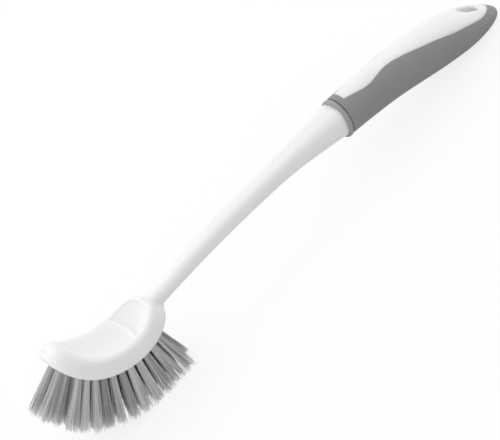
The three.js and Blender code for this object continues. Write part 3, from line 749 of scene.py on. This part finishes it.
# Thermoplastic rubber, moulded in a fine spark-eroded mould: matte, with a close grain that scatters light
# and a slight bloom in the grey. The bead at the front is painted a paler grey, a painted highlight for the
# light that falls on it. The grain of about 0.1 mm is drawn at 0.5 mm so that it shows.
GRIP_GREY = "#888888"
GRIP_BLOOM = "#919191"
# Painted highlight: the paler grey painted on the bead
GRIP_BEAD_HIGHLIGHT = "#A0A0A0"
GRIP_GRAIN_SIZE = 0.5
GRIP_GRAIN_HEIGHT = 0.04
GRIP_MATTE = (0.52, 0.66)
GRIP_BLOOM_SIZE = 9.0
GRIP_IOR = 1.5
rubber, tree = new_material("moulded_grey_thermoplastic_rubber")
place = add_node(tree, "ShaderNodeTexCoord").outputs["Object"]
bloom = add_node(tree, "ShaderNodeTexNoise",
                 {"Vector": place, "Scale": 1 / (GRIP_BLOOM_SIZE * MM), "Detail": 4.0, "Roughness": 0.6})
grain = add_node(tree, "ShaderNodeTexNoise",
                 {"Vector": place, "Scale": 1 / (GRIP_GRAIN_SIZE * MM), "Detail": 3.0, "Roughness": 0.6})
greys = add_node(tree, "ShaderNodeMix",
                 {0: bloom.outputs[0], 6: linear(GRIP_GREY), 7: linear(GRIP_BLOOM)}, data_type="RGBA")
# Painted highlight: the bead, up to its back, is painted the paler grey, fading out across the groove
bead_front, bead_back = (laid(bow(distance)[0]) for distance in (0.0, COLLAR_BEAD))
bead_way = (bead_back - bead_front) / np.linalg.norm(bead_back - bead_front)
from_bead = add_node(tree, "ShaderNodeVectorMath", {0: place, 1: tuple(bead_back)}, operation="SUBTRACT")
behind_bead = add_node(tree, "ShaderNodeVectorMath", {0: from_bead.outputs[0], 1: tuple(bead_way)},
                       operation="DOT_PRODUCT")
painted_bead_highlight = add_node(tree, "ShaderNodeMapRange",
                   {"Value": behind_bead.outputs["Value"], "From Min": 0.0,
                    "From Max": COLLAR_GROOVE_WIDTH * MM, "To Min": 1.0, "To Max": 0.0})
colour = add_node(tree, "ShaderNodeMix",
                  {0: painted_bead_highlight.outputs[0], 6: greys.outputs[2], 7: linear(GRIP_BEAD_HIGHLIGHT)}, data_type="RGBA")
matte = add_node(tree, "ShaderNodeMapRange", {"Value": grain.outputs[0], "From Min": 0.3, "From Max": 0.7,
                                              "To Min": GRIP_MATTE[0], "To Max": GRIP_MATTE[1]})
bump = add_node(tree, "ShaderNodeBump",
                {"Height": grain.outputs[0], "Strength": 0.5, "Distance": GRIP_GRAIN_HEIGHT * MM})
shader = add_node(tree, "ShaderNodeBsdfPrincipled",
                  {"Base Color": colour.outputs[2], "Roughness": matte.outputs[0], "Normal": bump.outputs[0],
                   "IOR": GRIP_IOR})
add_node(tree, "ShaderNodeOutputMaterial", {"Surface": shader.outputs[0]})

finish_surface(grip, rubber, MOULDED_SHARP_ANGLE)
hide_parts("grip")
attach(grip, "root")


# Anchors: a short flat plate across the fold of each tuft, cut from wire and driven into the hole so that
# its ends bite into the plastic. They are plated steel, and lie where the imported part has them.

# Steel wire, drawn, plated and cut: a dull metal shine, with fine lines along the wire
WIRE_STEEL = "#B9B4A6"
WIRE_DRAWN = "#A39E90"
WIRE_LINE_SIZE = 0.12
WIRE_LINE_HEIGHT = 0.01
WIRE_LINE_STRETCH = (1.0, 0.1, 1.0)
WIRE_SHINE = (0.25, 0.45)
steel_wire, tree = new_material("cut_plated_steel_wire")
place = add_node(tree, "ShaderNodeTexCoord").outputs["Object"]
stretched = add_node(tree, "ShaderNodeMapping", {"Vector": place, "Scale": WIRE_LINE_STRETCH})
lines = add_node(tree, "ShaderNodeTexNoise",
                 {"Vector": stretched.outputs[0], "Scale": 1 / (WIRE_LINE_SIZE * MM), "Detail": 2.0})
colour = add_node(tree, "ShaderNodeMix",
                  {0: lines.outputs[0], 6: linear(WIRE_STEEL), 7: linear(WIRE_DRAWN)}, data_type="RGBA")
shine = add_node(tree, "ShaderNodeMapRange",
                 {"Value": lines.outputs[0], "To Min": WIRE_SHINE[0], "To Max": WIRE_SHINE[1]})
bump = add_node(tree, "ShaderNodeBump",
                {"Height": lines.outputs[0], "Strength": 0.3, "Distance": WIRE_LINE_HEIGHT * MM})
shader = add_node(tree, "ShaderNodeBsdfPrincipled",
                  {"Base Color": colour.outputs[2], "Roughness": shine.outputs[0], "Normal": bump.outputs[0],
                   "Metallic": 1.0})
add_node(tree, "ShaderNodeOutputMaterial", {"Surface": shader.outputs[0]})
for name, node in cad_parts.items():
    if name.startswith("anchor_"):
        node.data.materials.clear()
        node.data.materials.append(steel_wire)


# Bristles: tufts of polyester filament, each a bundle of loops folded round its anchor, with both ends of
# every loop trimmed to one rounded sweep. The rows splay sideways, and the tufts fan out round the head.
LOOPS_PER_TUFT = 38
FILAMENT_RADIUS = 0.14
FILAMENT_SIDES = 5
TUFT_RADIUS = 1.38
TUFT_FLARE = 0.064
TUFT_TWIST = 0.4
LOOP_HALF_GAP = 0.12
FOLD_DEPTH = 5.35
FOLD_NEST = 0.3
STRAIGHT_DEPTH = 2.2
ANCHOR_TOP = 3.7
ANCHOR_HEIGHT = 1.2
ANCHOR_ROOM = 0.36
HELD_BREADTH = 0.92
PRESSED_DEPTH = ANCHOR_TOP + ANCHOR_HEIGHT
PRESSED_BREADTH = 0.86
PRESSED_THICKNESS = 0.75
BRISTLE_LENGTHS = (22.4, 25.3, 24.0)
STANDING_FLAT = 0.5
REAR_SPARE = 5.0
TRIM_CROWN = 0.7
TIP_RAGGEDNESS = 0.8
TIP_SHORTFALL = 0.2
TIP_WANDER = 0.25
TIP_TAPER = 0.6
CLUMPS = 3
CLUMP_LEAN = 0.014
CLUMP_TONE = 0.2
TUFT_TONE = 0.14
STRAND_TONE = 0.16
MEAN_TONE = 0.5
TABLE_CLEARANCE = 0.02
BRISTLE_SEED = 11
draw = np.random.default_rng(BRISTLE_SEED)

# Trim: a circle through the tips of the front, middle and rear tufts, flat where the brush stands. The rear
# tufts run past it, and the outer rows are a little shorter.
trim_reach = (field_length - tuft_pitch) / 2
trim_tips = [
    curl(field_middle + shift, 0.0, 0.0) + length * fan_direction(field_middle + shift)
    for shift, length in zip((-trim_reach, 0.0, trim_reach), BRISTLE_LENGTHS)
]
ab, ac = trim_tips[1] - trim_tips[0], trim_tips[2] - trim_tips[0]
twice = 2 * (ab[0] * ac[2] - ab[2] * ac[0])
trim_x = (ac[2] * (ab @ ab) - ab[2] * (ac @ ac)) / twice
trim_z = (ab[0] * (ac @ ac) - ac[0] * (ab @ ab)) / twice
trim_centre = trim_tips[0] + np.array([trim_x, 0, trim_z])
trim_radius = math.hypot(trim_x, trim_z)
down = np.array([math.sin(LIE_ANGLE), 0, -math.cos(LIE_ANGLE)])
table_reach = trim_centre @ down + trim_radius - STANDING_FLAT


def length_to_trim(points, directions, spare):
    """Lengths from points to a spare length past the trim circle, or to the table if that comes first."""
    x, z = points[:, 0] - trim_centre[0], points[:, 2] - trim_centre[2]
    dx, dz = directions[:, 0], directions[:, 2]
    a, b, c = dx**2 + dz**2, x * dx + z * dz, x**2 + z**2 - trim_radius**2
    to_circle = (-b + np.sqrt(b**2 - a * c)) / a + spare
    closing = directions @ down
    to_table = (table_reach - points @ down) / np.maximum(closing, 1e-6)
    return np.where(closing > 1e-3, np.minimum(to_circle, to_table), to_circle)


spots = np.arange(2 * LOOPS_PER_TUFT)
spot_reach = TUFT_RADIUS * np.sqrt((spots + 0.5) / len(spots))
spot_turn = spots * math.pi * (3 - math.sqrt(5))
end_shares = np.array([1.0, 0.9, 0.75, 0.5, 0.25, 0.0])


def loop_ends(tuft, along_place, across_place, tuft_tone):
    """Runs of one end of each loop, from its tip to the fold, and the end's tone. Ends cling in clumps."""
    root, along, across, out = tuft
    count = len(along_place)
    middles = draw.choice(count, CLUMPS, replace=False)
    apart = np.hypot(np.subtract.outer(along_place, along_place[middles]),
                     np.subtract.outer(across_place, across_place[middles]))
    clump = np.argmin(apart, axis=1)
    tone = tuft_tone + draw.normal(0, CLUMP_TONE, CLUMPS)[clump] + draw.normal(0, STRAND_TONE, count)
    start = root + np.outer(along_place, along) + np.outer(across_place, across)
    lean_along = TUFT_FLARE * along_place / TUFT_RADIUS + draw.normal(0, CLUMP_LEAN, CLUMPS)[clump]
    lean_across = TUFT_FLARE * across_place / TUFT_RADIUS + draw.normal(0, CLUMP_LEAN, CLUMPS)[clump]
    way = out + np.outer(lean_along, along) + np.outer(lean_across, across)
    way /= np.linalg.norm(way, axis=1)[:, None]
    rearward = max(0.0, out @ np.cross([0, 1.0, 0], -head_middle))
    crown = TRIM_CROWN * (root[1] / outer_row)**2
    ragged = draw.normal(-TIP_SHORTFALL, TIP_RAGGEDNESS, count)
    length = length_to_trim(start, way, REAR_SPARE * rearward**2 - crown + ragged)
    wander = np.outer(draw.normal(0, TIP_WANDER, count), along)
    wander += np.outer(draw.normal(0, TIP_WANDER, count), across)
    runs = [start + way * (length * t)[:, None] + wander * t**2 for t in end_shares]
    held = np.sign(along_place) * np.maximum(np.abs(along_place), ANCHOR_ROOM)
    pressed = np.sign(along_place) * np.maximum(PRESSED_THICKNESS * np.abs(along_place), ANCHOR_ROOM)
    for place, breadth, depth in (
        (along_place, 1, STRAIGHT_DEPTH),
        (held, HELD_BREADTH, ANCHOR_TOP),
        (pressed, PRESSED_BREADTH, PRESSED_DEPTH),
    ):
        runs.append(root + np.outer(place, along) + np.outer(breadth * across_place, across) - depth * out)
    return np.stack(runs, 1), tone


def filament_tubes(paths, side_way):
    """Points and faces of round tubes along paths of equally many points, none running along side_way."""
    count, steps, _ = paths.shape
    tangent = np.gradient(paths, axis=1)
    tangent /= np.linalg.norm(tangent, axis=2)[:, :, None]
    first = np.cross(tangent, side_way)
    first /= np.linalg.norm(first, axis=2)[:, :, None]
    second = np.cross(tangent, first)
    radius = np.full(steps, FILAMENT_RADIUS)
    radius[[0, -1]] *= TIP_TAPER
    turns = np.linspace(0, 2 * math.pi, FILAMENT_SIDES, endpoint=False)
    spokes = np.cos(turns)[:, None] * first[:, :, None] + np.sin(turns)[:, None] * second[:, :, None]
    points = paths[:, :, None] + radius[:, None, None] * spokes
    at = np.arange(count * steps * FILAMENT_SIDES).reshape(count, steps, FILAMENT_SIDES)
    turned = np.roll(at, -1, axis=2)
    quads = np.stack([at[:, :-1], turned[:, :-1], turned[:, 1:], at[:, 1:]], -1).reshape(-1, 4).tolist()
    caps = at[:, 0, ::-1].tolist() + at[:, -1].tolist()
    return points.reshape(-1, 3), quads + caps


# Polyester filament, drawn and cut: a dull grey with a little gloss along each strand. Tufts, clumps and
# strands differ slightly in grey, and the tips are paler, where the cut ends scatter light.
BRISTLE_DARK = "#A6A6A6"
BRISTLE_PALE = "#E6E6E6"
BRISTLE_TIP = "#EDEDED"
BRISTLE_TIP_START = 0.75
BRISTLE_TIP_SHARE = 0.7
BRISTLE_STREAK_SIZE = 2.5
BRISTLE_SHEEN = (0.36, 0.52)
BRISTLE_IOR = 1.5
filament, tree = new_material("drawn_grey_polyester_filament")
strand_grey = add_node(tree, "ShaderNodeAttribute", attribute_name="tone").outputs["Fac"]
reach = add_node(tree, "ShaderNodeAttribute", attribute_name="reach").outputs["Fac"]
place = add_node(tree, "ShaderNodeTexCoord").outputs["Object"]
streaks = add_node(tree, "ShaderNodeTexNoise",
                   {"Vector": place, "Scale": 1 / (BRISTLE_STREAK_SIZE * MM), "Detail": 2.0})
strand = add_node(tree, "ShaderNodeMix",
                  {0: strand_grey, 6: linear(BRISTLE_DARK), 7: linear(BRISTLE_PALE)}, data_type="RGBA")
tipped = add_node(tree, "ShaderNodeMapRange",
                  {"Value": reach, "From Min": BRISTLE_TIP_START, "From Max": 1.0,
                   "To Min": 0.0, "To Max": BRISTLE_TIP_SHARE})
colour = add_node(tree, "ShaderNodeMix",
                  {0: tipped.outputs[0], 6: strand.outputs[2], 7: linear(BRISTLE_TIP)}, data_type="RGBA")
sheen = add_node(tree, "ShaderNodeMapRange", {"Value": streaks.outputs[0], "From Min": 0.3, "From Max": 0.7,
                                              "To Min": BRISTLE_SHEEN[0], "To Max": BRISTLE_SHEEN[1]})
shader = add_node(tree, "ShaderNodeBsdfPrincipled",
                  {"Base Color": colour.outputs[2], "Roughness": sheen.outputs[0], "IOR": BRISTLE_IOR})
add_node(tree, "ShaderNodeOutputMaterial", {"Surface": shader.outputs[0]})

STRAND_SHARP_ANGLE = 60
spot_along, spot_across = spot_reach * np.cos(spot_turn), spot_reach * np.sin(spot_turn)
half_spots = np.argsort(spot_along)[LOOPS_PER_TUFT:]
for row, tufts in enumerate(tuft_rows):
    row_points, row_faces, row_reach, row_tone = [], [], [], []
    for tuft in tufts:
        root, _, across, out = tuft
        twist = draw.uniform(-TUFT_TWIST, TUFT_TWIST)
        along_place = np.maximum(LOOP_HALF_GAP, spot_along[half_spots] * math.cos(twist))
        across_place = spot_across[half_spots] + spot_along[half_spots] * math.sin(twist)
        tuft_tone = draw.normal(MEAN_TONE, TUFT_TONE)
        rear_ends, rear_tone = loop_ends(tuft, along_place, across_place, tuft_tone)
        front_ends, front_tone = loop_ends(tuft, -along_place, across_place, tuft_tone)
        depth = FOLD_DEPTH + FOLD_NEST * along_place / TUFT_RADIUS
        fold = root + np.outer(PRESSED_BREADTH * across_place, across) - np.outer(depth, out)
        paths = np.concatenate([front_ends, fold[:, None], rear_ends[:, ::-1]], 1)
        points, faces = filament_tubes(paths, across)
        first = sum(map(len, row_points))
        row_points.append(points)
        row_faces.extend([[i + first for i in face] for face in faces])
        in_hole = np.zeros(paths.shape[1] - 2 * len(end_shares))
        end_reach = np.concatenate([end_shares, in_hole, end_shares[::-1]])
        row_reach.append(np.tile(np.repeat(end_reach, FILAMENT_SIDES), len(paths)))
        half = paths.shape[1] // 2
        tones = np.stack([front_tone] * (half + 1) + [rear_tone] * half, 1)
        row_tone.append(np.repeat(np.clip(tones, 0, 1).ravel(), FILAMENT_SIDES))
    name = f"bristle_tufts_row_{row + 1}"
    placed = laid(np.concatenate(row_points))
    placed[:, 2] = np.maximum(placed[:, 2], TABLE_CLEARANCE * MM)
    mesh = bpy.data.meshes.new(name)
    mesh.from_pydata(placed.tolist(), [], row_faces)
    for kind, values in (("reach", row_reach), ("tone", row_tone)):
        layer = mesh.attributes.new(kind, "FLOAT", "POINT")
        layer.data.foreach_set("value", np.concatenate(values).astype(np.float32))
    bristles = bpy.data.objects.new(name, mesh)
    bpy.context.scene.collection.objects.link(bristles)
    finish_surface(bristles, filament, STRAND_SHARP_ANGLE)
    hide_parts(f"bristle_row_{row + 1}")
    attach(bristles, "root")


# Table and studio: a laminate table in an even pale room, with a broad soft key light high behind the head,
# a weaker fill high beyond the end of the handle, and a small weak light low in front of the head. The room
# looks white, and lights the brush a little less than that.
TABLE_HALF = 3.0
ROOM_WHITE = "#FFFFFF"
ROOM_LEVEL = 0.77
KEY_PLACE = Vector((-0.40, 0.98, 0.95))
KEY_SIZE = 1.3
KEY_POWER = 6.0
FILL_PLACE = Vector((1.10, 0.10, 0.80))
FILL_SIZE = 1.2
FILL_POWER = 3.0
FRONT_PLACE = Vector((-1.00, -0.40, 0.17))
FRONT_SIZE = 0.3
FRONT_POWER = 1.1


def seen_by_eye(tree):
    """1 for rays from the camera, in reflections and through clear material, 0 for rays that carry light."""
    path = add_node(tree, "ShaderNodeLightPath")
    seen = path.outputs["Is Camera Ray"]
    for other in ("Is Glossy Ray", "Is Transmission Ray"):
        either = add_node(tree, "ShaderNodeMath", {0: seen, 1: path.outputs[other]}, operation="MAXIMUM")
        seen = either.outputs[0]
    return seen


table_mesh = bpy.data.meshes.new("table")
corners = [(x * TABLE_HALF, y * TABLE_HALF, 0) for x, y in ((-1, -1), (1, -1), (1, 1), (-1, 1))]
table_mesh.from_pydata(corners, [], [(0, 1, 2, 3)])
table = bpy.data.objects.new("table", table_mesh)
bpy.context.scene.collection.objects.link(table)

# White laminate, pressed with a matte face: an even white without shine. To the eye it glows, so that only a
# faint shadow is left on it, and it returns light to the brush like a pale grey.
LAMINATE_WHITE = "#FFFFFF"
LAMINATE_GREY = "#C4C4C4"
LAMINATE_GLOW = 0.8
laminate, tree = new_material("matte_white_laminate")
seen = seen_by_eye(tree)
colour = add_node(tree, "ShaderNodeMix", {0: seen, 6: linear(LAMINATE_GREY), 7: linear(LAMINATE_WHITE)},
                  data_type="RGBA")
matte = add_node(tree, "ShaderNodeBsdfDiffuse", {"Color": colour.outputs[2]})
glow = add_node(tree, "ShaderNodeEmission", {"Strength": 1.0})
share = add_node(tree, "ShaderNodeMath", {0: seen, 1: LAMINATE_GLOW}, operation="MULTIPLY")
mixed = add_node(tree, "ShaderNodeMixShader", {0: share.outputs[0], 1: matte.outputs[0], 2: glow.outputs[0]})
add_node(tree, "ShaderNodeOutputMaterial", {"Surface": mixed.outputs[0]})
table_mesh.materials.append(laminate)

room = bpy.data.worlds.new("pale_room")
room.use_nodes = True
room.node_tree.nodes.clear()
tree = room.node_tree
level = add_node(tree, "ShaderNodeMapRange",
                 {"Value": seen_by_eye(tree), "To Min": ROOM_LEVEL, "To Max": 1.0})
walls = add_node(tree, "ShaderNodeBackground", {"Color": linear(ROOM_WHITE), "Strength": level.outputs[0]})
add_node(tree, "ShaderNodeOutputWorld", {"Surface": walls.outputs[0]})
bpy.context.scene.world = room

for name, spot, size, power in (
    ("soft_key", KEY_PLACE, KEY_SIZE, KEY_POWER),
    ("soft_fill", FILL_PLACE, FILL_SIZE, FILL_POWER),
    ("soft_front", FRONT_PLACE, FRONT_SIZE, FRONT_POWER),
):
    lamp_data = bpy.data.lights.new(name, "AREA")
    lamp_data.size, lamp_data.energy = size, power
    lamp = bpy.data.objects.new(name, lamp_data)
    lamp.location = spot
    lamp.rotation_euler = (-spot).to_track_quat("-Z", "Y").to_euler()
    bpy.context.scene.collection.objects.link(lamp)

# Camera: high on the near side, past the head, and rolled so that the handle rises to the upper right
CAMERA_AIM = Vector((-14.69, 0.0, 22.16)) * MM
CAMERA_DISTANCE = 929.1 * MM
CAMERA_AZIMUTH = math.radians(-18.92)
CAMERA_ELEVATION = math.radians(40.57)
CAMERA_ROLL = math.radians(-34.21)
CAMERA_LENS = 152.64
CAMERA_SENSOR = 36.0
CAMERA_CLIP = (0.05, 20.0)
camera_data = bpy.data.cameras.new("camera")
camera_data.lens, camera_data.sensor_width = CAMERA_LENS, CAMERA_SENSOR
camera_data.clip_start, camera_data.clip_end = CAMERA_CLIP
camera = bpy.data.objects.new("camera", camera_data)
back = Vector((
    math.sin(CAMERA_AZIMUTH) * math.cos(CAMERA_ELEVATION),
    -math.cos(CAMERA_AZIMUTH) * math.cos(CAMERA_ELEVATION),
    math.sin(CAMERA_ELEVATION),
))
facing = (-back).to_track_quat("-Z", "Y").to_matrix() @ Matrix.Rotation(CAMERA_ROLL, 3, "Z")
camera.matrix_world = Matrix.Translation(CAMERA_AIM + back * CAMERA_DISTANCE) @ facing.to_4x4()
bpy.context.scene.collection.objects.link(camera)
bpy.context.scene.camera = camera
bpy.context.scene.view_settings.view_transform = "Standard"
